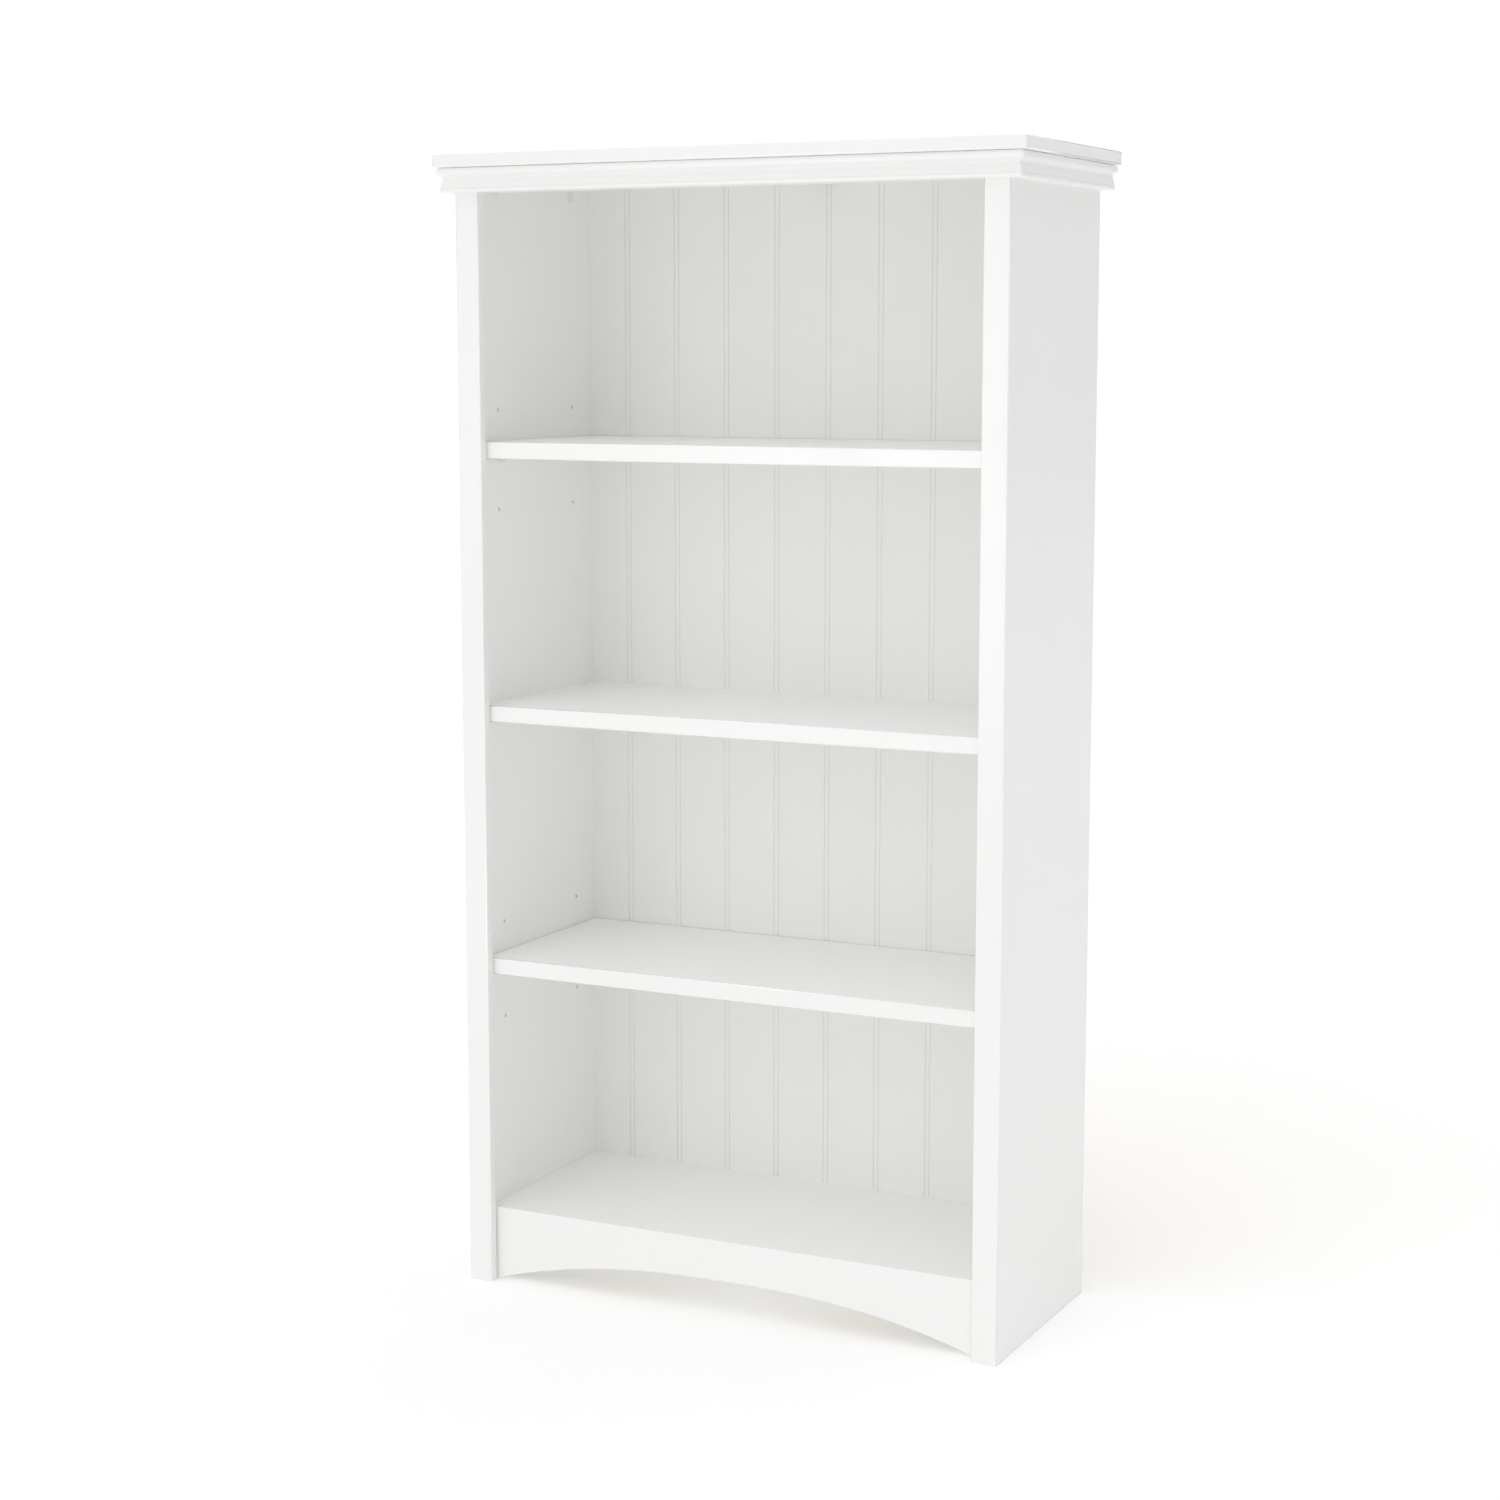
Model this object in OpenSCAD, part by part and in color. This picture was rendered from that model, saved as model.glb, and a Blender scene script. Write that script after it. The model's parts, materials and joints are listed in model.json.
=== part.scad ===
// Four-bay bookcase: foil-covered boards, framed front, crown moulding,
// beaded back, arched kick plate and two shelves that lift off their pins.
// Origin at the middle of the footprint, on the floor. Front faces -Y.

/* [Carcass] */
// Width over the two side panels
carcass_w = 748; // [600:1:1000]
// Depth from the front of the posts to the rear edge of the sides
carcass_d = 308; // [240:1:400]
// Height from the floor to the underside of the top board
carcass_h = 1451; // [1300:1:1900]
// Thickness of each side panel
side_t = 22; // [18:1:28]
// Thickness of every shelf
shelf_t = 22; // [18:1:28]

/* [Top board] */
// Thickness of the top board
top_t = 16; // [14:1:25]
// How far the top board stands out past each side panel
top_over_side = 24.5; // [21:0.5:40]
// How far it stands out past the posts
top_over_front = 16; // [15:0.5:30]
// How far it stands out past the rear edge of the sides
top_over_back = 6.5; // [0:0.5:20]

/* [Posts and rail] */
// Width of each front post
post_w = 33; // [30:1:60]
// Depth of each front post
post_d = 12; // [12:1:20]
// Thickness of the rail behind the front moulding
rail_t = 22; // [20:1:30]

/* [Crown moulding] */
// Height of the moulding
crown_h = 31; // [31:1:45]
// Projection of its rounded nose from its back
crown_nose = 20; // [18.5:0.5:20.5]
// How deep the front moulding is let into the posts
crown_let_in = 6; // [4:0.5:8]

/* [Shelves] */
// Height of the upper shelf's top face, on its pins
upper_shelf_z = 1108; // [1000:1:1150]
// Height of the middle shelf's top face
middle_shelf_z = 769; // [700:1:800]
// Height of the lower shelf's top face, on its pins
lower_shelf_z = 436; // [350:1:500]
// Height of the bottom shelf's top face
bottom_shelf_z = 99; // [90:1:160]
// Distance of the shelf fronts behind the posts
shelf_setback = 3; // [1:0.5:10]
// Gap between an adjustable shelf and each side panel
shelf_end_gap = 1; // [1:0.25:2]
// Gap between an adjustable shelf and the back panel
shelf_back_gap = 0.75; // [0.5:0.25:5]

/* [Kick plate] */
// Thickness of the kick plate
kick_t = 16; // [16:1:25]
// Clearance of the kick plate's feet above the floor
kick_foot = 1; // [1:0.5:5]
// Rise of the arch above the feet
kick_rise = 45; // [20:1:50]
// Side and height of the square cleats behind the kick plate
cleat = 20; // [18:1:25]
// Length of each cleat
cleat_l = 150; // [110:1:200]

/* [Back panel] */
// Thickness of the back panel
back_t = 3.2; // [3:0.1:5]
// How far its rear face lies inside the rear edge of the sides
back_inset = 0.8; // [0.6:0.1:3]
// How far it laps behind each side panel
back_lap = 8; // [6:0.5:12]
// How far it hangs below the bottom shelf
back_drop = 15; // [10:1:30]
// Distance from one bead to the next
bead_pitch = 74.7; // [60:0.1:90]
// Distance between the two grooves of a bead
bead_w = 6.5; // [5:0.1:12]
// Sideways place of the middle bead
bead_shift = 5; // [-20:0.5:20]

/* [Shelf pins] */
// Radius of a pin
pin_r = 2.5; // [2:0.5:3.5]
// Distance between two rows of pin holes
hole_pitch = 64; // [32:32:96]
// Distance of the front holes behind the side panel's front edge
hole_front = 49; // [37:1:70]
// Distance of the rear holes from the side panel's rear edge
hole_rear = 56; // [37:1:80]

/* [Fasteners] */
// Radius of the wooden dowels
dowel_r = 4; // [3:0.5:4]
// Length of the wooden dowels
dowel_l = 30; // [25:1:35]
// Radius of a cam
cam_r = 7.5; // [6:0.5:7.5]
// Depth of a cam
cam_h = 14.5; // [13:0.5:15]
// Distance from a fixed shelf's end to its cams
cam_reach = 34; // [24:1:40]
// Distance from the top of a side panel to its cams
cam_drop = 24; // [20:1:34]

/* [Hidden] */
$fn = 32;

// Main planes
top_w = carcass_w + 2 * top_over_side;
top_d = top_over_front + carcass_d + top_over_back;
front_y = -top_d / 2 + top_over_front;
rear_y = front_y + carcass_d;
side_front_y = front_y + post_d;
shelf_front_y = side_front_y + shelf_setback;
back_y = rear_y - back_inset - back_t;
crown_y = front_y + crown_let_in;
inner_x = carcass_w / 2 - side_t;
side_mid_x = carcass_w / 2 - side_t / 2;
side_mid_y = (side_front_y + rear_y) / 2;
crown_z = carcass_h - crown_h;
rail_notch = side_front_y - crown_y;

// Clearances and small features
fit = 0.05;            // drilled hole round a dowel, pin, bolt or screw
end_room = 0.5;        // spare depth at the bottom of a blind hole
over = 1;              // how far a cut runs past a face
groove_w = 1.2;        // one groove of a bead
groove_deep = 0.8;
top_groove_deep = 5;   // groove in the top board for the back panel
top_groove_room = 0.2; // clearance on each side of the back panel there

// Pins and their holes
pin_in = 9.5;          // length inside the side panel
pin_out = 8;           // length that carries the shelf
collar_r = 3.6;
collar_t = 0.8;
hole_ys = [side_front_y + hole_front, rear_y - hole_rear];

// Cam fittings
bolt_thread_r = 2.5;
bolt_thread_l = 11;
bolt_r = 3;
bolt_head_r = 3.6;
bolt_head_l = 3;
bolt_hole_r = 3.8;
cam_slot_w = 1.6;
cam_slot_l = 9;
cam_slot_deep = 2;
cap_r = 9;
cap_t = 0.8;

// Dowels
dowel_in = 11;         // depth in a face; the rest goes into an end
post_dowel_r = 3;
post_dowel_l = 24;
post_dowel_in = 8;
post_dowel_n = 4;
post_dowel_end = 150;  // first and last one from the post's ends
kick_dowel_x = 280;    // dowels between the kick plate and the bottom shelf
kick_dowel_z = 60;     // dowels in the kick plate's ends

// Screws, nails and the wall bracket
screw_r = 1.75;
screw_head_r = 3.6;
screw_head_l = 2;
crown_screw_bite = 9.5; // depth in the moulding
crown_screw_z = carcass_h - 17;
crown_screw_xs = [-280, -95, 95, 280];
crown_screw_ys = [side_mid_y - 45, side_mid_y + 45];
cleat_x = 170;
cleat_screw_gap = 45;
cleat_screw_l = 30;
nail_r = 0.8;
nail_l = 22;
nail_head_r = 2;
nail_head_t = 0.6;
side_nails = 12;
side_nail_end = 45;    // first and last nail from the back panel's ends
shelf_nails = 5;
shelf_nail_half = inner_x - 70;  // middle to the outermost nail of a shelf
bracket_w = 36;
bracket_t = 1.5;
bracket_down = 12;
bracket_under = 25;
bracket_hole_r = 2.5;
bracket_hole_x = 10;
bracket_hole_z = carcass_h - 7;
bracket_screw_l = 12;
bracket_screw_y = back_y - 16;

// Small helpers ------------------------------------------------------

// A rod along +X, +Y or +Z from a point
module rod_x(at, r, l) { translate(at) rotate([0, 90, 0]) cylinder(r = r, h = l); }
module rod_y(at, r, l) { translate(at) rotate([-90, 0, 0]) cylinder(r = r, h = l); }
module rod_z(at, r, l) { translate(at) cylinder(r = r, h = l); }

// The right-hand shape and its twin on the left
module both_sides() {
  children();
  mirror([1, 0, 0]) children();
}

// Points of an arc round c, from angle a0 to a1
function arc(c, r, a0, a1, n) =
  [for (i = [0:n]) c + r * [cos(a0 + (a1 - a0) * i / n), sin(a0 + (a1 - a0) * i / n)]];

// Steps from a to b, ends included
function steps(a, b, n) = [for (i = [0:n - 1]) a + (b - a) * i / (n - 1)];

// A countersunk wood screw along +Z, its head's flat face at the origin
module wood_screw(length, grow = 0) {
  cylinder(r = screw_r + grow, h = length + grow);
  cylinder(r1 = screw_head_r + grow, r2 = screw_r + grow, h = screw_head_l + grow);
}

// Dowels, each set drawn again with clearance where it is drilled -----

module shelf_dowels(top_z, grow = 0) {
  both_sides()
    rod_x([inner_x + dowel_in - dowel_l - grow, side_mid_y, top_z - shelf_t / 2],
      dowel_r + min(grow, fit), dowel_l + 2 * grow);
}

module top_dowels(grow = 0) {
  both_sides()
    rod_z([side_mid_x, side_mid_y, carcass_h + dowel_in - dowel_l - grow],
      dowel_r + min(grow, fit), dowel_l + 2 * grow);
}

module rail_dowels(grow = 0) {
  both_sides()
    rod_x([inner_x + dowel_in - dowel_l - grow, (side_front_y + crown_y + rail_t) / 2,
      carcass_h - crown_h / 2], dowel_r + min(grow, fit), dowel_l + 2 * grow);
}

module kick_end_dowels(grow = 0) {
  both_sides()
    rod_x([inner_x + dowel_in - dowel_l - grow, shelf_front_y + kick_t / 2, kick_dowel_z],
      dowel_r + min(grow, fit), dowel_l + 2 * grow);
}

module kick_shelf_dowels(grow = 0) {
  both_sides()
    rod_y([kick_dowel_x, shelf_front_y + kick_t - dowel_in - grow, bottom_shelf_z - shelf_t / 2],
      dowel_r + min(grow, fit), dowel_l + 2 * grow);
}

module post_dowel_set(grow = 0) {
  for (z = steps(post_dowel_end, carcass_h - post_dowel_end, post_dowel_n))
    rod_y([side_mid_x, side_front_y - post_dowel_in - grow, z],
      post_dowel_r + min(grow, fit), post_dowel_l + 2 * grow);
}

// Cam fittings, drawn along +Z: the bolt stands on the face it screws
// into, and the cam lies across it at a reach from that face -----------

module cam_bolt(reach) {
  translate([0, 0, -bolt_thread_l]) cylinder(r = bolt_thread_r, h = bolt_thread_l);
  cylinder(r = bolt_r, h = reach);
  translate([0, 0, reach - bolt_head_l]) cylinder(r = bolt_head_r, h = bolt_head_l);
}

module cam_bolt_hole() {
  translate([0, 0, -bolt_thread_l - end_room])
    cylinder(r = bolt_thread_r + fit, h = bolt_thread_l + end_room + over);
}

// skin is the distance from the bolt's axis to the face the cam is let into
module cam_lock(reach, skin) {
  difference() {
    translate([skin, 0, reach]) rotate([0, -90, 0])
      cylinder(r = cam_r - fit, h = cam_h);
    translate([0, 0, reach - cam_r - over]) cylinder(r = bolt_hole_r, h = cam_r + over + fit);
    translate([skin - cam_slot_deep / 2, 0, reach]) {
      cube([cam_slot_deep + fit, cam_slot_w, cam_slot_l], center = true);
      cube([cam_slot_deep + fit, cam_slot_l, cam_slot_w], center = true);
    }
  }
}

module cam_bore(reach, skin) {
  translate([skin + over, 0, reach]) rotate([0, -90, 0])
    cylinder(r = cam_r, h = cam_h + end_room + over);
  translate([0, 0, -over]) cylinder(r = bolt_hole_r, h = reach + over);
}

// Places for the fittings of a fixed shelf (bolts stand on the side panels)
module at_shelf_cams(top_z) {
  both_sides()
    for (y = hole_ys)
      translate([inner_x, y, top_z - shelf_t / 2]) rotate([180, 90, 0]) children();
}

// Places for the fittings of the top board (bolts hang from its underside)
module at_top_cams() {
  both_sides()
    for (y = hole_ys)
      translate([side_mid_x, y, carcass_h]) rotate([0, 180, 0]) children();
}

// Boards --------------------------------------------------------------

module top_board() {
  color("white")
  difference() {
    translate([-top_w / 2, -top_d / 2, carcass_h]) cube([top_w, top_d, top_t]);
    translate([-inner_x - back_lap - top_groove_room, back_y - top_groove_room, carcass_h - over])
      cube([2 * (inner_x + back_lap + top_groove_room), back_t + 2 * top_groove_room,
        top_groove_deep + over]);
    at_top_cams() cam_bolt_hole();
    top_dowels(end_room);
    bracket_screws(fit);
  }
}

// Right-hand side panel: rebated for the back, drilled for pins and fittings
module side_panel() {
  difference() {
    translate([inner_x, side_front_y, 0]) cube([side_t, rear_y - side_front_y, carcass_h]);
    translate([inner_x - over, back_y, -over])
      cube([back_lap + over, rear_y - back_y + over, carcass_h + 2 * over]);
    for (top_z = [upper_shelf_z, lower_shelf_z])
      for (row = [-1:1])
        for (y = hole_ys)
          rod_x([inner_x - over, y, top_z - shelf_t - pin_r + row * hole_pitch],
            pin_r + fit, pin_in + end_room + over);
    for (top_z = [middle_shelf_z, bottom_shelf_z]) {
      at_shelf_cams(top_z) cam_bolt_hole();
      shelf_dowels(top_z, end_room);
    }
    at_top_cams() cam_bore(cam_drop, side_t / 2);
    top_dowels(end_room);
    rail_dowels(end_room);
    kick_end_dowels(end_room);
    post_dowel_set(end_room);
    side_crown_screws(fit);
  }
}
module side_panel_right() { color("whitesmoke") side_panel(); }
module side_panel_left() { color("whitesmoke") mirror([1, 0, 0]) side_panel(); }

// Right-hand front post, its top end cut back for the front moulding
module front_post() {
  difference() {
    translate([carcass_w / 2 - post_w, front_y, 0]) cube([post_w, post_d, carcass_h]);
    translate([carcass_w / 2 - post_w - over, front_y - over, crown_z])
      cube([post_w + 2 * over, crown_let_in + over, crown_h + over]);
    post_dowel_set(end_room);
  }
}
module front_post_right() { color("white") front_post(); }
module front_post_left() { color("white") mirror([1, 0, 0]) front_post(); }

// Rail behind the front moulding, notched round the tops of the posts
module top_rail() {
  color("gainsboro")
  difference() {
    translate([-inner_x, crown_y, crown_z]) cube([2 * inner_x, rail_t, crown_h]);
    both_sides()
      translate([carcass_w / 2 - post_w, crown_y - over, crown_z - over])
        cube([post_w, rail_notch + over, crown_h + 2 * over]);
    rail_dowels(end_room);
    front_crown_screws(fit);
  }
}

// Adjustable shelf: reaches behind the posts and rests on four pins
module loose_shelf(top_z) {
  translate([-inner_x + shelf_end_gap, shelf_front_y, top_z - shelf_t])
    cube([2 * (inner_x - shelf_end_gap), back_y - shelf_back_gap - shelf_front_y, shelf_t]);
}
module upper_shelf() { color("white") loose_shelf(upper_shelf_z); }
module lower_shelf() { color("white") loose_shelf(lower_shelf_z); }

// Fixed shelf: cams in its underside draw it tight to the side panels
module fixed_shelf(top_z, y0) {
  difference() {
    translate([-inner_x, y0, top_z - shelf_t]) cube([2 * inner_x, back_y - y0, shelf_t]);
    at_shelf_cams(top_z) cam_bore(cam_reach, shelf_t / 2);
    shelf_dowels(top_z, end_room);
  }
}
module middle_shelf() { color("white") fixed_shelf(middle_shelf_z, shelf_front_y); }
module bottom_shelf() {
  color("white")
  difference() {
    fixed_shelf(bottom_shelf_z, shelf_front_y + kick_t);
    kick_shelf_dowels(end_room);
    cleat_screw_set(fit);
  }
}

// Underside of the kick plate: a flat-topped arch that dies out at the posts
arch_half = carcass_w / 2 - post_w;
arch_power = 2.45;
arch_steps = 48;
function arch_z(x) = kick_foot + kick_rise * (1 - pow(abs(x) / arch_half, arch_power));

module kick_plate() {
  outline = concat(
    [[-inner_x, bottom_shelf_z], [-inner_x, kick_foot]],
    [for (x = steps(-arch_half, arch_half, arch_steps)) [x, arch_z(x)]],
    [[inner_x, kick_foot], [inner_x, bottom_shelf_z]]);
  color("white")
  difference() {
    translate([0, shelf_front_y + kick_t, 0]) rotate([90, 0, 0])
      linear_extrude(kick_t) polygon(outline);
    kick_end_dowels(end_room);
    kick_shelf_dowels(end_room);
    cleat_screw_set(fit);
  }
}

module kick_cleats() {
  color("burlywood")
  difference() {
    both_sides()
      translate([cleat_x - cleat_l / 2, shelf_front_y + kick_t, bottom_shelf_z - shelf_t - cleat])
        cube([cleat_l, cleat, cleat]);
    cleat_screw_set(fit);
  }
}

// Beaded hardboard back, let into the top board's groove
module back_panel() {
  half = inner_x + back_lap;
  z0 = bottom_shelf_z - shelf_t - back_drop;
  z1 = carcass_h + top_groove_deep - end_room;
  beads = floor((inner_x - abs(bead_shift) - bead_w) / bead_pitch);
  color("ghostwhite")
  difference() {
    translate([-half, back_y, z0]) cube([2 * half, back_t, z1 - z0]);
    for (k = [-beads:beads])
      for (s = [-1, 1])
        translate([bead_shift + k * bead_pitch + s * bead_w / 2 - groove_w / 2, back_y - over,
          z0 - over])
          cube([groove_w, groove_deep + over, z1 - z0 + 2 * over]);
    bracket_holes();
  }
}

// Crown moulding --------------------------------------------------------

// Section: across is the projection from its back, up is the height under
// the top board. Rounded nose, cove, flare, fine step and base bead.
nose_r = 5;
lip_r = 2.5;
lip_z = -7.5;
cove_c = [crown_nose - 1.6, -14.5];
cove_r = 4.9;
flare = [crown_nose - 3.8, 6 - crown_h];
step_in = 0.8;
base_r = 2;
base_p = crown_nose - 3.2;
crown_section = concat(
  [[0, 0]],
  arc([crown_nose - nose_r, -nose_r], nose_r, 90, 0, 8),
  arc([crown_nose - lip_r, lip_z], lip_r, 0, -90, 5),
  arc(cove_c, cove_r, 114, 215, 9),
  [flare, flare + [-step_in, 0], flare + [-step_in, -step_in]],
  arc([base_p - base_r, flare[1] - step_in - base_r], base_r, 60, 0, 4),
  arc([base_p - base_r, base_r - crown_h], base_r, 0, -90, 4),
  [[0, -crown_h]]);

// Everything in front of the right-hand mitre, as a block to cut with
module mitre(turn) {
  big = 2 * carcass_w + carcass_d;
  translate([carcass_w / 2, crown_y, carcass_h - big / 2]) rotate([0, 0, turn])
    translate([0, -big, 0]) cube([big, 2 * big, big]);
}

module crown_moulding_front() {
  color("white")
  difference() {
    translate([0, crown_y, carcass_h]) rotate([90, 0, -90])
      linear_extrude(carcass_w + 2 * crown_nose, center = true) polygon(crown_section);
    both_sides() mitre(45);
    front_crown_screws(fit);
  }
}

// Right-hand return along the side panel, as long as the top board is deep
module crown_return() {
  difference() {
    translate([carcass_w / 2, top_d / 2, carcass_h]) rotate([90, 0, 0])
      linear_extrude(top_d / 2 - crown_y + crown_nose) polygon(crown_section);
    mitre(225);
    side_crown_screws(fit);
  }
}
module crown_moulding_right() { color("white") crown_return(); }
module crown_moulding_left() { color("white") mirror([1, 0, 0]) crown_return(); }

// Fasteners -------------------------------------------------------------

module shelf_pin_set(top_z) {
  z = top_z - shelf_t - pin_r;
  color("silver")
  both_sides()
    for (y = hole_ys) {
      rod_x([inner_x - collar_t - pin_out, y, z], pin_r, pin_in + collar_t + pin_out);
      rod_x([inner_x - collar_t, y, z], collar_r, collar_t);
    }
}
module upper_shelf_pins() { shelf_pin_set(upper_shelf_z); }
module lower_shelf_pins() { shelf_pin_set(lower_shelf_z); }

module cam_locks() {
  color("darkgray") {
    for (top_z = [middle_shelf_z, bottom_shelf_z])
      at_shelf_cams(top_z) cam_lock(cam_reach, shelf_t / 2);
    at_top_cams() cam_lock(cam_drop, side_t / 2);
  }
}

module cam_bolts() {
  color("gray") {
    for (top_z = [middle_shelf_z, bottom_shelf_z])
      at_shelf_cams(top_z) cam_bolt(cam_reach);
    at_top_cams() cam_bolt(cam_drop);
  }
}

module cam_cover_caps() {
  color("whitesmoke")
  both_sides()
    for (y = hole_ys)
      rod_x([inner_x - cap_t, y, carcass_h - cam_drop], cap_r, cap_t);
}

module wood_dowels() {
  color("tan") {
    for (top_z = [middle_shelf_z, bottom_shelf_z]) shelf_dowels(top_z);
    top_dowels();
    rail_dowels();
    kick_end_dowels();
    kick_shelf_dowels();
  }
}

module post_dowels() { color("tan") both_sides() post_dowel_set(); }

module front_crown_screws(grow = 0) {
  for (x = crown_screw_xs)
    translate([x, crown_y + rail_t, crown_screw_z]) rotate([90, 0, 0])
      wood_screw(rail_t + crown_screw_bite, grow);
}

module side_crown_screws(grow = 0) {
  for (y = crown_screw_ys)
    translate([inner_x, y, crown_screw_z]) rotate([0, 90, 0])
      wood_screw(side_t + crown_screw_bite, grow);
}

module moulding_screws() {
  color("silver") {
    front_crown_screws();
    both_sides() side_crown_screws();
  }
}

// Each cleat: two screws up into the bottom shelf, two into the kick plate
module cleat_screw_set(grow = 0) {
  y0 = shelf_front_y + kick_t;
  z0 = bottom_shelf_z - shelf_t - cleat;
  both_sides()
    for (s = [-1, 1]) {
      translate([cleat_x + s * cleat_screw_gap, y0 + cleat / 2, z0])
        wood_screw(cleat_screw_l, grow);
      translate([cleat_x + s * cleat_screw_gap / 2, y0 + cleat, z0 + cleat / 2])
        rotate([90, 0, 0]) wood_screw(cleat_screw_l, grow);
    }
}
module cleat_screws() { color("silver") cleat_screw_set(); }

// Nails through the back panel into the side panels and fixed shelves
module nail(x, z) {
  rod_y([x, back_y + back_t - nail_l, z], nail_r, nail_l);
  rod_y([x, back_y + back_t, z], nail_head_r, nail_head_t);
}
module back_nails() {
  z0 = bottom_shelf_z - shelf_t - back_drop;
  color("silver") {
    both_sides()
      for (z = steps(z0 + side_nail_end, carcass_h - side_nail_end, side_nails))
        nail(inner_x + back_lap / 2, z);
    for (top_z = [middle_shelf_z, bottom_shelf_z])
      for (x = steps(-shelf_nail_half, shelf_nail_half, shelf_nails))
        nail(x, top_z - shelf_t / 2);
  }
}

// Steel angle under the top board for a strap to the wall
module bracket_holes() {
  for (s = [-1, 1])
    rod_y([s * bracket_hole_x, back_y - bracket_t - over, bracket_hole_z], bracket_hole_r,
      bracket_t + back_t + 2 * over);
}
module bracket_screws(grow = 0) {
  for (s = [-1, 1])
    translate([s * bracket_hole_x, bracket_screw_y, carcass_h - bracket_t])
      wood_screw(bracket_screw_l, grow);
}
module wall_bracket() {
  color("lightgray")
  difference() {
    union() {
      translate([-bracket_w / 2, back_y - bracket_t, carcass_h - bracket_down])
        cube([bracket_w, bracket_t, bracket_down]);
      translate([-bracket_w / 2, back_y - bracket_under, carcass_h - bracket_t])
        cube([bracket_w, bracket_under, bracket_t]);
    }
    bracket_holes();
    bracket_screws(fit);
  }
}
module wall_bracket_screws() { color("silver") bracket_screws(); }

top_board();
crown_moulding_front();
crown_moulding_left();
crown_moulding_right();
top_rail();
side_panel_left();
side_panel_right();
front_post_left();
front_post_right();
upper_shelf();
middle_shelf();
lower_shelf();
bottom_shelf();
kick_plate();
kick_cleats();
back_panel();
upper_shelf_pins();
lower_shelf_pins();
cam_locks();
cam_bolts();
cam_cover_caps();
wood_dowels();
post_dowels();
moulding_screws();
cleat_screws();
back_nails();
wall_bracket();
wall_bracket_screws();
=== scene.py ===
import json
from math import cos, radians, sin

import bmesh
import bpy
from mathutils import Matrix, Vector


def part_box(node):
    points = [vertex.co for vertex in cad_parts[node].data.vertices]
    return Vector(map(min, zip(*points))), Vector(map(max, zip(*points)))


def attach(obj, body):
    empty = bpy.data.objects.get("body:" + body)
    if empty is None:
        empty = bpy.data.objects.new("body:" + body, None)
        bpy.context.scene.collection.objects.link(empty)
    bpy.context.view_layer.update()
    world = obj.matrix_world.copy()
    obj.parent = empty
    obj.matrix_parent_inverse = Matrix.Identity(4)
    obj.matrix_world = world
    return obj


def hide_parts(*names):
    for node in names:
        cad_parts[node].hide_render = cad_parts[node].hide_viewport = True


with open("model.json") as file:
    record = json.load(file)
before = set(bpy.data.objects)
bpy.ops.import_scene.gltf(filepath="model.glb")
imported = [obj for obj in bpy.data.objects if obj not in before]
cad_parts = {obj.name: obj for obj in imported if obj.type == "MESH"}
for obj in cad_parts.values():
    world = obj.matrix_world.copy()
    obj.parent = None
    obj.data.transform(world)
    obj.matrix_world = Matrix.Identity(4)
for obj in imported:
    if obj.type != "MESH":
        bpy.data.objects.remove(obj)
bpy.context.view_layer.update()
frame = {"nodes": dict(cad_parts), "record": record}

MM = 0.001
WELD = 0.002 * MM
NEAR = 0.02 * MM
NODES = frame["nodes"]
BODY_OF = {node: body for body, members in frame["record"]["behaviour"]["bodies"].items()
           for node in members}
SLOT_OF = {part["node"]: part["material_slot"] for part in frame["record"]["subparts"]}


# Nodes ---------------------------------------------------------------------

class Value:
    """A number coming out of a node. Arithmetic on it adds Math nodes."""

    def __init__(self, nodes, socket):
        self.nodes, self.socket = nodes, socket

    def math(self, operation, first, second):
        return self.nodes.node("ShaderNodeMath", {"operation": operation}, {0: first, 1: second})

    def __add__(self, other):
        return self.math("ADD", self, other)

    def __sub__(self, other):
        return self.math("SUBTRACT", self, other)

    def __rsub__(self, other):
        return self.math("SUBTRACT", other, self)

    def __mul__(self, other):
        return self.math("MULTIPLY", self, other)

    def __gt__(self, other):
        return self.math("GREATER_THAN", self, other)

    __radd__ = __add__
    __rmul__ = __mul__


class Nodes:
    """A node tree, and the one way in which nodes are added to it."""

    def __init__(self, tree):
        self.tree = tree

    def node(self, kind, settings=None, values=None, out=0):
        made = self.tree.nodes.new(kind)
        for key, value in (settings or {}).items():
            setattr(made, key, value)
        for key, value in (values or {}).items():
            self.put(value, made.inputs[key])
        return Value(self, made.outputs[out]) if made.outputs else None

    def put(self, value, socket):
        if isinstance(value, Value):
            self.tree.links.new(value.socket, socket)
        else:
            socket.default_value = value


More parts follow.
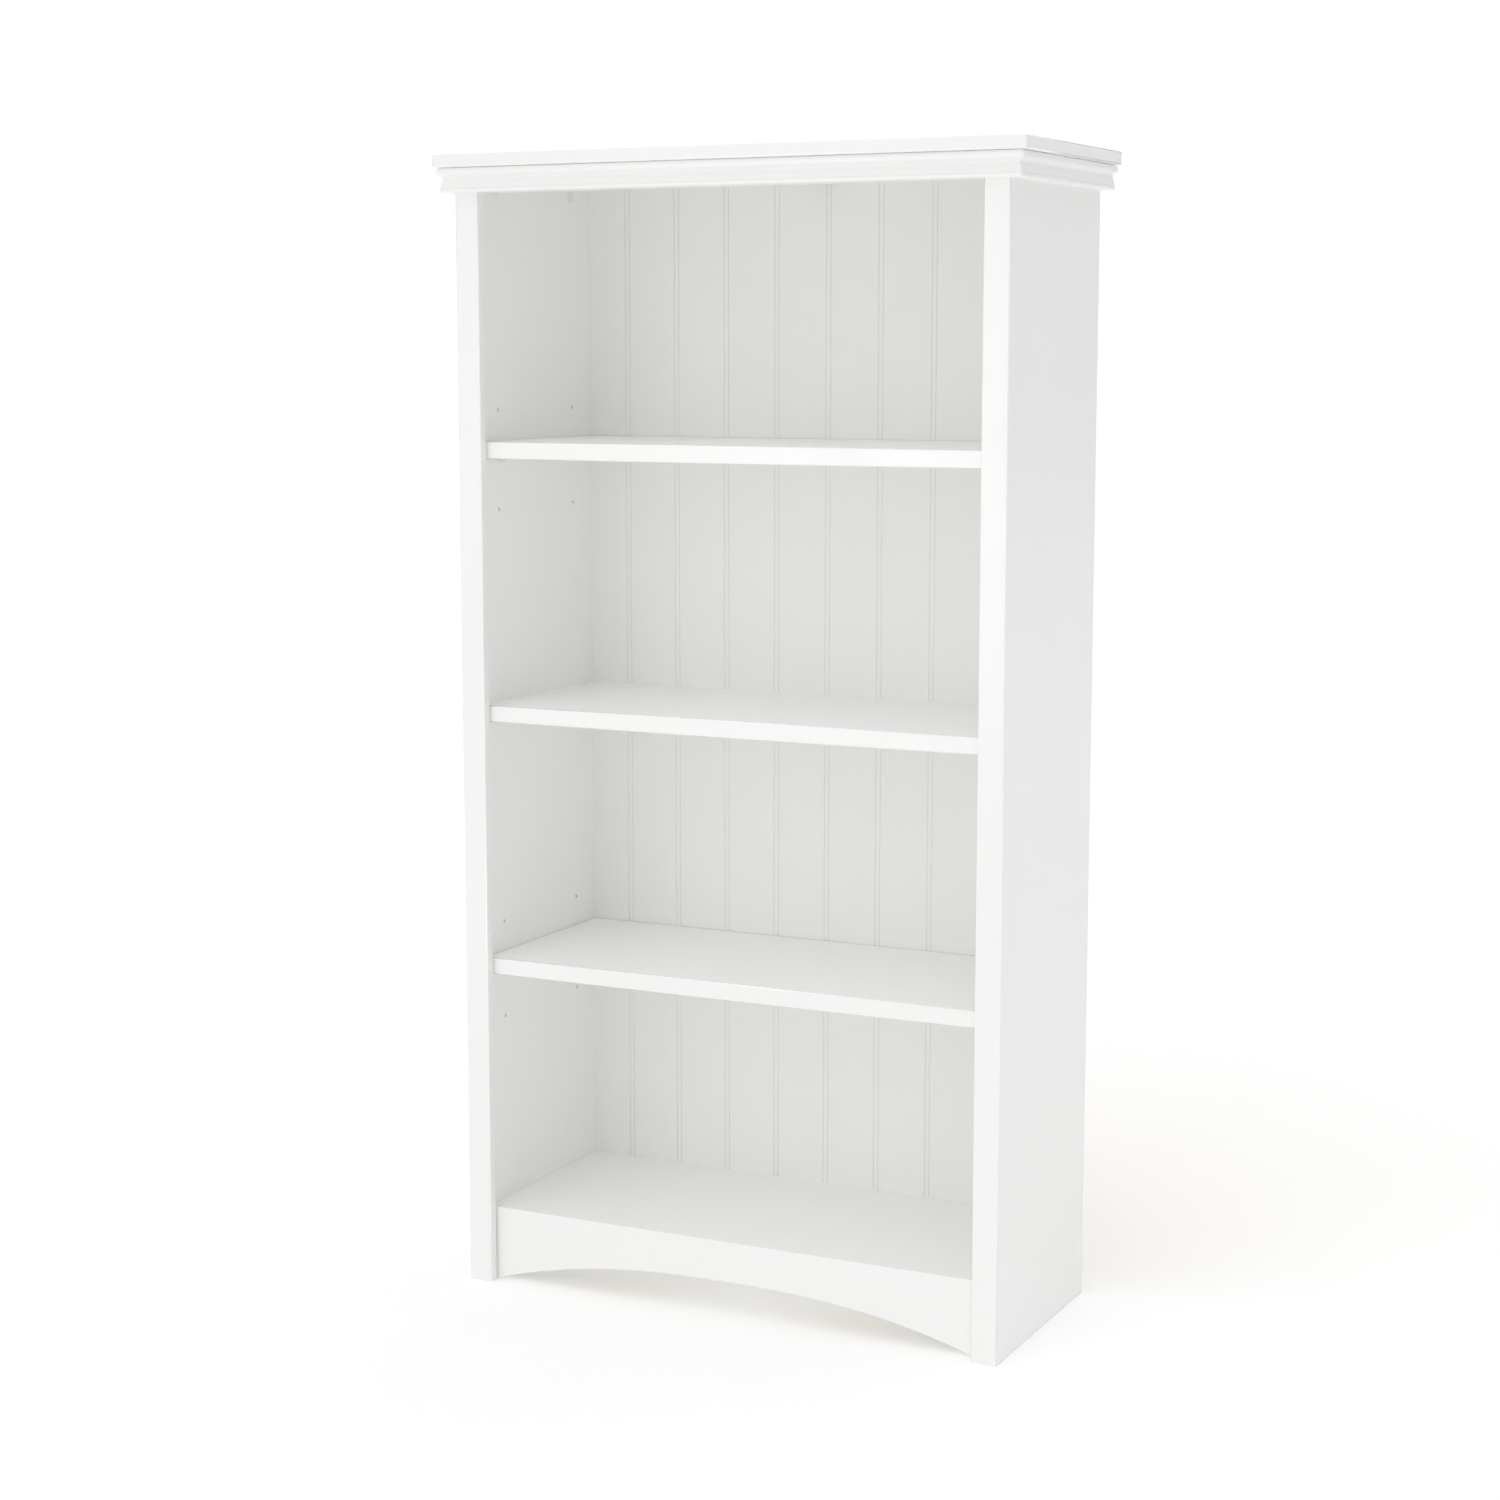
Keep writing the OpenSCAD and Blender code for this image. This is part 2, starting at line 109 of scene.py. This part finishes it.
class Finish(Nodes):
    """A material on one shader, with the nodes that vary it over a surface."""

    def __init__(self, name, **constants):
        self.material = bpy.data.materials.new(name)
        self.material.use_nodes = True
        super().__init__(self.material.node_tree)
        self.shader = self.tree.nodes["Principled BSDF"]
        self.feed(**constants)
        self.at = self.node("ShaderNodeTexCoord", out="Object")

    def feed(self, **sockets):
        for socket, value in sockets.items():
            self.put(value, self.shader.inputs[socket.replace("_", " ")])
        return self.material

    def stretched(self, x, y, z):
        """Object coordinates scaled along each axis, for grain that runs one way."""
        return self.node("ShaderNodeVectorMath", {"operation": "MULTIPLY"},
                         {0: self.at, 1: (x, y, z)})

    def noise(self, scale, detail=2.0, rough=0.5, at=None, bend=0.0):
        return self.node("ShaderNodeTexNoise", None,
                         {"Vector": at or self.at, "Scale": scale, "Detail": detail,
                          "Roughness": rough, "Distortion": bend})

    def cells(self, scale, out="Distance"):
        return self.node("ShaderNodeTexVoronoi", None, {"Vector": self.at, "Scale": scale}, out)

    def span(self, value, low, high):
        """Spreads the value's range low..high smoothly over 0..1."""
        return self.node("ShaderNodeMapRange", {"interpolation_type": "SMOOTHSTEP"},
                         {"Value": value, "From Min": low, "From Max": high,
                          "To Min": 0.0, "To Max": 1.0})

    def mark(self, name):
        """The marks that the bench work leaves on faces: arris, groove or raw."""
        return self.node("ShaderNodeAttribute", {"attribute_name": name}, out="Fac")

    def blend(self, amount, first, second):
        return self.node("ShaderNodeMix", {"data_type": "RGBA"}, {0: amount, 6: first, 7: second}, 2)

    def bump(self, height, distance, strength=1.0, under=None):
        values = {"Height": height, "Distance": distance, "Strength": strength}
        if under:
            values["Normal"] = under
        return self.node("ShaderNodeBump", None, values)


def rgb(red, green, blue):
    return (red, green, blue, 1.0)


WHITE = rgb(1.0, 1.0, 1.0)


# Finishes ------------------------------------------------------------------

def foil():
    """Satin white foil on particle board, with a painted highlight on its rounded edges and raw
    board where no foil covers it.
    """
    f = Finish("white_foil", Specular_IOR_Level=0.38, Coat_Roughness=0.22, IOR=1.47)
    cloud = f.span(f.noise(2.6, 3.0), 0.3, 0.7)
    print_dots = f.span(f.noise(420.0, 3.0, 0.6), 0.35, 0.75)
    handled = f.span(f.noise(7.0, 4.0, 0.6), 0.45, 0.75)
    arris = f.mark("arris")
    rubbed = arris * f.span(f.noise(120.0, 3.0, 0.7), 0.52, 0.66)
    colour = f.blend(cloud, rgb(0.930, 0.932, 0.922), rgb(0.945, 0.946, 0.938))
    colour = f.blend(print_dots * 0.10, colour, rgb(0.90, 0.90, 0.89))
    # Painted highlight: the rounded edges are painted lighter than the flat faces, standing for the
    # light they catch.
    colour = f.blend(arris * 0.8, colour, rgb(0.985, 0.985, 0.978))
    colour = f.blend(rubbed * 0.12, colour, rgb(0.80, 0.79, 0.76))
    raw = f.mark("raw")
    grit = f.noise(900.0, 2.0, 0.6)
    chips = f.blend(f.cells(210.0, "Color"), rgb(0.36, 0.24, 0.13), rgb(0.66, 0.50, 0.33))
    chips = f.blend(f.span(grit, 0.4, 0.7) * 0.5, chips, rgb(0.30, 0.20, 0.11))
    colour = f.blend(raw, colour, chips)
    gloss = 0.32 + handled * 0.06 + f.noise(60.0, 2.0) * 0.05 - arris * 0.12 + raw * 0.45
    skin = f.bump(f.noise(38.0, 3.0, 0.55), 0.04 * MM, 0.2)
    skin = f.bump(f.noise(1100.0, 2.0, 0.5), 0.02 * MM, 0.3, skin)
    skin = f.bump(raw * (f.cells(230.0) + grit * 0.6), 0.6 * MM, 0.8, skin)
    return f.feed(Base_Color=colour, Roughness=gloss, Coat_Weight=arris, Normal=skin)


def beaded_foil():
    """Matt paper foil on the back's face, with painted shade in its grooves; its rear is bare
    fibreboard.
    """
    f = Finish("back_foil", Specular_IOR_Level=0.30, IOR=1.45)
    low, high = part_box("back_panel")
    rear = f.node("ShaderNodeSeparateXYZ", None, {0: f.at}, "Y") > (low.y + high.y) / 2
    sweep = f.noise(1.0, 3.0, 0.55, f.stretched(260.0, 40.0, 9.0))
    cloud = f.span(f.noise(2.1, 3.0), 0.3, 0.7)
    paper = f.blend(cloud, rgb(0.915, 0.920, 0.903), rgb(0.930, 0.934, 0.918))
    paper = f.blend(f.span(sweep, 0.35, 0.7) * 0.04, paper, rgb(0.84, 0.84, 0.82))
    # Painted shade: the faces inside the grooves are painted darker, standing for the shade that
    # falls in them.
    paper = f.blend(f.mark("groove") * 0.22, paper, rgb(0.72, 0.72, 0.69))
    fibre = f.noise(1.0, 4.0, 0.65, f.stretched(330.0, 330.0, 190.0), 0.6)
    blotch = f.span(f.noise(14.0, 4.0, 0.6), 0.35, 0.7)
    board = f.blend(f.span(fibre, 0.35, 0.68), rgb(0.40, 0.30, 0.20), rgb(0.58, 0.46, 0.33))
    board = f.blend(blotch * 0.35, board, rgb(0.64, 0.52, 0.39))
    colour = f.blend(rear, paper, board)
    gloss = 0.56 + f.span(sweep, 0.3, 0.7) * 0.08 + rear * 0.22
    skin = f.bump(sweep, 0.02 * MM, 0.15)
    skin = f.bump(fibre * rear, 0.4 * MM, 0.7, skin)
    return f.feed(Base_Color=colour, Roughness=gloss, Normal=skin)


def timber():
    """Bare softwood with growth rings, pores and sawn faces."""
    f = Finish("raw_wood", Specular_IOR_Level=0.25)
    along = f.stretched(7.0, 95.0, 95.0)
    rings = f.node("ShaderNodeTexWave", {"wave_type": "RINGS", "rings_direction": "X"},
                   {"Vector": f.stretched(2.0, 34.0, 34.0), "Scale": 2.2, "Distortion": 3.5,
                    "Detail": 3.0, "Detail Scale": 1.4}, "Fac")
    streak = f.noise(3.0, 5.0, 0.65, along)
    pores = f.span(f.noise(9.0, 3.0, 0.7, along), 0.60, 0.72)
    colour = f.blend(rings, rgb(0.80, 0.66, 0.47), rgb(0.64, 0.47, 0.29))
    colour = f.blend(f.span(streak, 0.35, 0.7) * 0.5, colour, rgb(0.84, 0.72, 0.54))
    colour = f.blend(pores * 0.5, colour, rgb(0.36, 0.23, 0.12))
    skin = f.bump(rings + streak, 0.3 * MM, 0.35)
    skin = f.bump(pores, 0.4 * MM, 0.5, skin)
    return f.feed(Base_Color=colour, Roughness=0.62 + streak * 0.2, Normal=skin)


def plated(name, light, dark, gloss, grain_run, grain_depth=0.04 * MM):
    """Metal with drawn or cast grain, uneven plating and worn high spots."""
    f = Finish(name, Metallic=1.0)
    grain = f.noise(1.0, 4.0, 0.6, f.stretched(*grain_run))
    patches = f.span(f.noise(160.0, 4.0, 0.6), 0.35, 0.7)
    spots = f.span(f.noise(700.0, 3.0, 0.7), 0.58, 0.72)
    colour = f.blend(patches, light, dark)
    colour = f.blend(spots * 0.35, colour, rgb(0.33, 0.31, 0.28))
    rough = gloss + grain * 0.14 + patches * 0.08 + spots * 0.12
    skin = f.bump(grain, grain_depth, 0.5)
    skin = f.bump(spots, grain_depth, 0.4, skin)
    return f.feed(Base_Color=colour, Roughness=rough, Normal=skin)


def moulded():
    """White plastic with the fine spark texture of its mould and a painted highlight on its rounded
    rims.
    """
    f = Finish("cap_plastic", Specular_IOR_Level=0.45, IOR=1.49)
    spark = f.noise(1500.0, 3.0, 0.65)
    flow = f.span(f.noise(90.0, 3.0), 0.35, 0.7)
    colour = f.blend(flow, rgb(0.84, 0.84, 0.82), rgb(0.88, 0.88, 0.865))
    # Painted highlight: the rounded rim is painted lighter than the rest of the cap.
    colour = f.blend(f.mark("arris") * 0.4, colour, rgb(0.91, 0.91, 0.90))
    return f.feed(Base_Color=colour, Roughness=0.34 + spark * 0.16 + flow * 0.05,
                  Normal=f.bump(spark, 0.03 * MM, 0.5))


FINISHES = {
    "white_foil": foil(),
    "back_foil": beaded_foil(),
    "raw_wood": timber(),
    "pin_steel": plated("pin_steel", rgb(0.90, 0.89, 0.86), rgb(0.80, 0.79, 0.76), 0.20,
                        (220.0, 1900.0, 1900.0)),
    "cam_zinc": plated("cam_zinc", rgb(0.52, 0.53, 0.54), rgb(0.42, 0.43, 0.44), 0.34,
                       (700.0, 700.0, 700.0), 0.1 * MM),
    "screw_steel": plated("screw_steel", rgb(0.70, 0.70, 0.67), rgb(0.60, 0.61, 0.63), 0.20,
                          (900.0, 900.0, 900.0)),
    "cap_plastic": moulded(),
}


# Bench work ----------------------------------------------------------------

SIDES = {"left": (0, -1), "right": (0, 1), "front": (1, -1), "rear": (1, 1),
         "foot": (2, -1), "head": (2, 1)}
FLAT = radians(0.4)
ARC_STEP = radians(28.0)
SQUARE = 80.0


def joined(node):
    """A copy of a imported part, its loose triangles merged into whole faces."""
    bm = bmesh.new()
    bm.from_mesh(NODES[node].data)
    bmesh.ops.remove_doubles(bm, verts=bm.verts, dist=WELD)
    bmesh.ops.dissolve_limit(bm, angle_limit=FLAT, verts=bm.verts, edges=bm.edges)
    for face in bm.faces:
        face.smooth = False
    return bm


def side_of(face, low, high):
    """The outer side of the part's box that a face lies on, or None inside it."""
    middle = face.calc_center_median()
    for side, (axis, sign) in SIDES.items():
        edge = high[axis] if sign > 0 else low[axis]
        if face.normal[axis] * sign > 0.999 and abs(middle[axis] - edge) < NEAR:
            return side
    return None


def edges_between(bm, box, pairs):
    """The edges where two outer sides meet, such as ("front", "head")."""
    side = {face: side_of(face, *box) for face in bm.faces}
    wanted = {frozenset(pair) for pair in pairs}
    return [edge for edge in bm.edges if len(edge.link_faces) == 2
            and frozenset(side[face] for face in edge.link_faces) in wanted]


def corners(bm, sharper_than):
    """The edges where two faces meet at more than an angle."""
    return [edge for edge in bm.edges
            if len(edge.link_faces) == 2 and edge.calc_face_angle() > radians(sharper_than)]


def mark_layer(bm, name):
    return bm.faces.layers.float.get(name) or bm.faces.layers.float.new(name)


def ease(bm, edges, radius, segments=3, mark="arris"):
    """Rounds edges over to a radius in mm, and marks the new faces for the finish."""
    layer = mark_layer(bm, mark)
    if not edges:
        return
    made = bmesh.ops.bevel(bm, geom=edges, offset=radius * MM, offset_type="OFFSET",
                           segments=segments, profile=0.5, affect="EDGES",
                           clamp_overlap=True, material=-1)
    for face in made["faces"]:
        face.smooth = True
        face[layer] = 1.0


def leave_raw(bm, box, sides):
    """Marks the outer sides that the foil doesn't cover."""
    layer = mark_layer(bm, "raw")
    for face in bm.faces:
        if side_of(face, *box) in sides:
            face[layer] = 1.0


def smooth_arcs(bm):
    """Shades curved runs as curves and keeps the sharp edges sharp."""
    for face in bm.faces:
        face.smooth = True
    for edge in bm.edges:
        edge.smooth = len(edge.link_faces) == 2 and edge.calc_face_angle() < ARC_STEP


def finished(name, bm, node):
    """Makes the piece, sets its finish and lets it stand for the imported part."""
    mesh = bpy.data.meshes.new(name)
    bm.to_mesh(mesh)
    bm.free()
    for spare in ("custom_normal", "UVMap"):
        if spare in mesh.attributes:
            mesh.attributes.remove(mesh.attributes[spare])
    mesh.materials.clear()
    mesh.materials.append(FINISHES[SLOT_OF[node]])
    piece = bpy.data.objects.new(name, mesh)
    bpy.context.scene.collection.objects.link(piece)
    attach(piece, BODY_OF[node])
    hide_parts(node)
    return piece


def around(*sides):
    """Every pair of neighbouring sides in a ring, for the edges round a board."""
    return list(zip(sides, sides[1:] + sides[:1]))


def board(name, node, *rounds, raw=()):
    """A board; each round gives the edges to ease and their radius in mm."""
    bm = joined(node)
    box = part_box(node)
    leave_raw(bm, box, raw)
    for pairs, radius in rounds:
        ease(bm, edges_between(bm, box, pairs), radius)
    finished(name, bm, node)


# Boards --------------------------------------------------------------------

TOP_ARRIS = 1.6
SHELF_ARRIS = 1.4
POST_ARRIS = 1.3
RAIL_ARRIS = 1.0
CLEAT_ARRIS = 0.7
CUT_EDGE = 0.6
BANDED_EDGE = 0.4
BEAD_SHOULDER = 0.25
HEAD_AND_FOOT = [("front", "head"), ("front", "foot")]
FRONT_ENDS = [("front", "left"), ("front", "right")]
REAR_EDGES = [("head", "rear"), ("foot", "rear")]
ROUND_THE_ENDS = around("head", "left", "foot", "right")

board("top_board_wrapped", "top_board", (HEAD_AND_FOOT + FRONT_ENDS + ROUND_THE_ENDS, TOP_ARRIS),
      (REAR_EDGES, BANDED_EDGE), raw=("rear",))

for hand, inner in (("left", "right"), ("right", "left")):
    board(f"side_board_{hand}", f"side_panel_{hand}",
          ([("rear", hand), ("foot", hand), ("foot", "rear")], CUT_EDGE), raw=("rear", "foot"))
    board(f"front_stile_{hand}", f"front_post_{hand}",
          ([("front", hand), ("front", inner)], POST_ARRIS),
          ([("front", "foot"), (inner, "rear"), (inner, "foot")], CUT_EDGE), raw=("foot",))

for node in ("upper_shelf", "lower_shelf"):
    board(f"{node}_board", node, (HEAD_AND_FOOT, SHELF_ARRIS),
          (ROUND_THE_ENDS + FRONT_ENDS + REAR_EDGES, BANDED_EDGE), raw=("rear",))
board("middle_shelf_board", "middle_shelf", (HEAD_AND_FOOT, SHELF_ARRIS), raw=("rear",))
board("bottom_shelf_board", "bottom_shelf", ([("front", "foot")], CUT_EDGE), raw=("rear",))
board("top_rail_board", "top_rail", ([("front", "foot"), ("rear", "foot")], RAIL_ARRIS))


def kick_board():
    """The kick plate, its front rounded along the top and the arch."""
    bm = joined("kick_plate")
    low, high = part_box("kick_plate")
    front = {face for face in bm.faces if side_of(face, low, high) == "front"}
    rim = [edge for edge in bm.edges if len(edge.link_faces) == 2
           and len(front.intersection(edge.link_faces)) == 1
           and not all(abs(abs(vert.co.x) - high.x) < NEAR for vert in edge.verts)]
    ease(bm, rim, SHELF_ARRIS)
    finished("kick_board", bm, "kick_plate")


def cleats():
    """The cleats behind the kick plate, their long edges eased."""
    bm = joined("kick_cleats")
    long_edges = [edge for edge in corners(bm, SQUARE) if edge.calc_length() > 15 * MM]
    ease(bm, long_edges, CLEAT_ARRIS, 2)
    finished("corner_cleats", bm, "kick_cleats")


def beaded_back():
    """The back: each bead stands between two grooves with rounded shoulders."""
    bm = joined("back_panel")
    low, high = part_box("back_panel")
    groove = mark_layer(bm, "groove")
    shoulders = [edge for edge in corners(bm, SQUARE)
                 if abs(edge.verts[0].co.z - edge.verts[1].co.z) > 0.5 * (high.z - low.z)
                 and abs(edge.verts[0].co.x - edge.verts[1].co.x) < NEAR
                 and abs(edge.verts[0].co.x) < high.x - 5 * MM
                 and edge.verts[0].co.y < high.y - 1 * MM]
    # Faces deep in the grooves are marked, and the back's finish paints shade on them.
    for face in bm.faces:
        middle = face.calc_center_median()
        deep = low.y + 0.1 * MM < middle.y < high.y - 1 * MM
        if deep and low.z + MM < middle.z < high.z - MM:
            face[groove] = 1.0
    ease(bm, shoulders, BEAD_SHOULDER, 2, "shoulder")
    finished("beaded_back_board", bm, "back_panel")


def crown_run(place, cut_ends):
    """One length of the crown moulding; the returns' sawn rear ends stay raw."""
    node = f"crown_moulding_{place}"
    bm = joined(node)
    leave_raw(bm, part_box(node), cut_ends)
    smooth_arcs(bm)
    finished(f"crown_run_{place}", bm, node)


kick_board()
cleats()
beaded_back()
crown_run("front", ())
crown_run("left", ("rear",))
crown_run("right", ("rear",))


# Hardware ------------------------------------------------------------------

RIM_ANGLE = 70.0
PIN_RIM = 0.22
CAP_RIM = 0.35
ANGLE_RIM = 0.25
RECESS_SIZE = (4.0 * MM, 0.8 * MM, 2.2 * MM)
SMALLEST_HEAD = 30 * MM * MM


def pins(node):
    """Shelf pins with eased ends and an eased collar."""
    bm = joined(node)
    rims = [edge for edge in corners(bm, RIM_ANGLE)
            if abs(edge.verts[0].co.x - edge.verts[1].co.x) < NEAR]
    smooth_arcs(bm)
    ease(bm, rims, PIN_RIM, 2)
    finished(f"{node}_turned", bm, node)


def caps():
    """The cover caps of the cams, with a rounded rim."""
    bm = joined("cam_cover_caps")
    rims = corners(bm, RIM_ANGLE)
    smooth_arcs(bm)
    ease(bm, rims, CAP_RIM)
    finished("cam_caps_moulded", bm, "cam_cover_caps")


def cross_headed(name, node):
    """Countersunk screws with a cross recess sunk in every head."""
    bm = joined(node)
    recess = bmesh.new()
    heads = [face for face in bm.faces
             if len(face.verts) > 20 and face.calc_area() > SMALLEST_HEAD]
    for head in heads:
        seat = Matrix.Translation(head.calc_center_median()) \
            @ head.normal.to_track_quat("Z", "Y").to_matrix().to_4x4()
        for turn in (45.0, 135.0):
            slot = Matrix.Rotation(radians(turn), 4, "Z") @ Matrix.Diagonal((*RECESS_SIZE, 1.0))
            bmesh.ops.create_cube(recess, size=1.0, matrix=seat @ slot)
    screws = finished(name, bm, node)
    mesh = bpy.data.meshes.new("recess")
    recess.to_mesh(mesh)
    recess.free()
    cutter = bpy.data.objects.new("recess", mesh)
    bpy.context.scene.collection.objects.link(cutter)
    cut = screws.modifiers.new("recess", "BOOLEAN")
    cut.operation, cut.solver, cut.use_self, cut.object = "DIFFERENCE", "EXACT", True, cutter
    shaped = screws.evaluated_get(bpy.context.evaluated_depsgraph_get())
    screws.data = bpy.data.meshes.new_from_object(shaped)
    screws.modifiers.clear()
    bpy.data.objects.remove(cutter)


def bracket():
    """The steel angle for the wall strap, its long edges eased."""
    bm = joined("wall_bracket")
    rim = [edge for edge in corners(bm, SQUARE) if edge.calc_length() > 5 * MM]
    ease(bm, rim, ANGLE_RIM, 2)
    finished("wall_angle", bm, "wall_bracket")


pins("upper_shelf_pins")
pins("lower_shelf_pins")
caps()
cross_headed("moulding_screws_cross", "moulding_screws")
cross_headed("cleat_screws_cross", "cleat_screws")
cross_headed("bracket_screws_cross", "wall_bracket_screws")
bracket()

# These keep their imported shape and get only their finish.
for node in ("cam_locks", "cam_bolts", "wood_dowels", "post_dowels", "back_nails"):
    kept = NODES[node].data.materials
    kept.clear()
    kept.append(FINISHES[SLOT_OF[node]])


# Studio --------------------------------------------------------------------

FLOOR_HALF = 14.0
FLOOR_GLOW = 0.127
SEEN_WHITE = 1.05
CAMERA_AIM = (-0.0325, -0.00125, 0.7131)


def studio_floor():
    bm = bmesh.new()
    bmesh.ops.create_grid(bm, x_segments=2, y_segments=2, size=FLOOR_HALF)
    mesh = bpy.data.meshes.new("studio_floor")
    bm.to_mesh(mesh)
    bm.free()
    f = Finish("floor_white", Specular_IOR_Level=0.1, Emission_Color=WHITE,
               Emission_Strength=FLOOR_GLOW)
    tone = f.span(f.noise(1.5, 3.0), 0.3, 0.7)
    mesh.materials.append(f.feed(
        Base_Color=f.blend(tone, rgb(0.955, 0.955, 0.955), rgb(0.965, 0.965, 0.965)),
        Roughness=0.85 + tone * 0.1))
    floor = bpy.data.objects.new("studio_floor", mesh)
    bpy.context.scene.collection.objects.link(floor)


def soft_box(name, place, aim, size, power, sheen_only=False):
    lamp = bpy.data.lights.new(name, "AREA")
    lamp.shape, lamp.size, lamp.energy = "SQUARE", size, power
    light = bpy.data.objects.new(name, lamp)
    light.location = place
    light.rotation_euler = (Vector(aim) - Vector(place)).to_track_quat("-Z", "Y").to_euler()
    light.visible_camera = False
    light.visible_diffuse = not sheen_only
    bpy.context.scene.collection.objects.link(light)


def white_room(*glows):
    """White surroundings, brighter towards each glow. Seen directly they are plain white."""
    world = bpy.data.worlds.new("white_room")
    bpy.context.scene.world = world
    world.use_nodes = True
    world.node_tree.nodes.clear()
    room = Nodes(world.node_tree)
    way = room.node("ShaderNodeTexCoord")
    total = 0.0
    for towards, width, strength in glows:
        facing = room.node("ShaderNodeVectorMath", {"operation": "DOT_PRODUCT"},
                           {0: way, 1: Vector(towards).normalized()}, "Value")
        facing = facing.math("POWER", facing.math("MAXIMUM", facing, 0.0), width)
        total = facing * strength + total
    fill = room.node("ShaderNodeBackground", None, {"Color": WHITE, "Strength": total})
    seen = room.node("ShaderNodeBackground", None, {"Color": WHITE, "Strength": SEEN_WHITE})
    looked_at = room.node("ShaderNodeLightPath", out="Is Camera Ray")
    mixed = room.node("ShaderNodeMixShader", None, {0: looked_at, 1: fill, 2: seen})
    room.node("ShaderNodeOutputWorld", None, {"Surface": mixed})


def studio_camera(azimuth, elevation, distance, lens):
    a, e = radians(azimuth), radians(elevation)
    back = Vector((sin(a) * cos(e), -cos(a) * cos(e), sin(e)))
    data = bpy.data.cameras.new("camera")
    data.lens, data.sensor_width, data.clip_end = lens, 36.0, 60.0
    camera = bpy.data.objects.new("camera", data)
    camera.location = Vector(CAMERA_AIM) + back * distance
    camera.rotation_euler = (-back).to_track_quat("-Z", "Y").to_euler()
    bpy.context.scene.collection.objects.link(camera)
    bpy.context.scene.camera = camera


studio_floor()
white_room(((0.0, 0.0, 1.0), 1.0, 1.075), ((0.0, -1.0, 0.12), 3.0, 0.799),
           ((-0.75, -0.25, 0.6), 2.0, 0.193), ((0.45, 0.85, 0.10), 2.0, 0.56))
soft_box("key", (-1.3, -3.2, 2.1), (0.0, 0.0, 0.8), 1.5, 2.2)
soft_box("sheen", (-1.2, -3.24, 0.95), (0.18, -0.14, 1.09), 0.7, 25.0, sheen_only=True)
studio_camera(26.303, 8.091, 3.645, 67.83)
bpy.context.scene.view_settings.view_transform = "Standard"
bpy.context.scene.view_settings.look = "None"
# White bays pass the light on many times before it leaves them.
bpy.context.scene.cycles.max_bounces = 14
bpy.context.scene.cycles.diffuse_bounces = 10
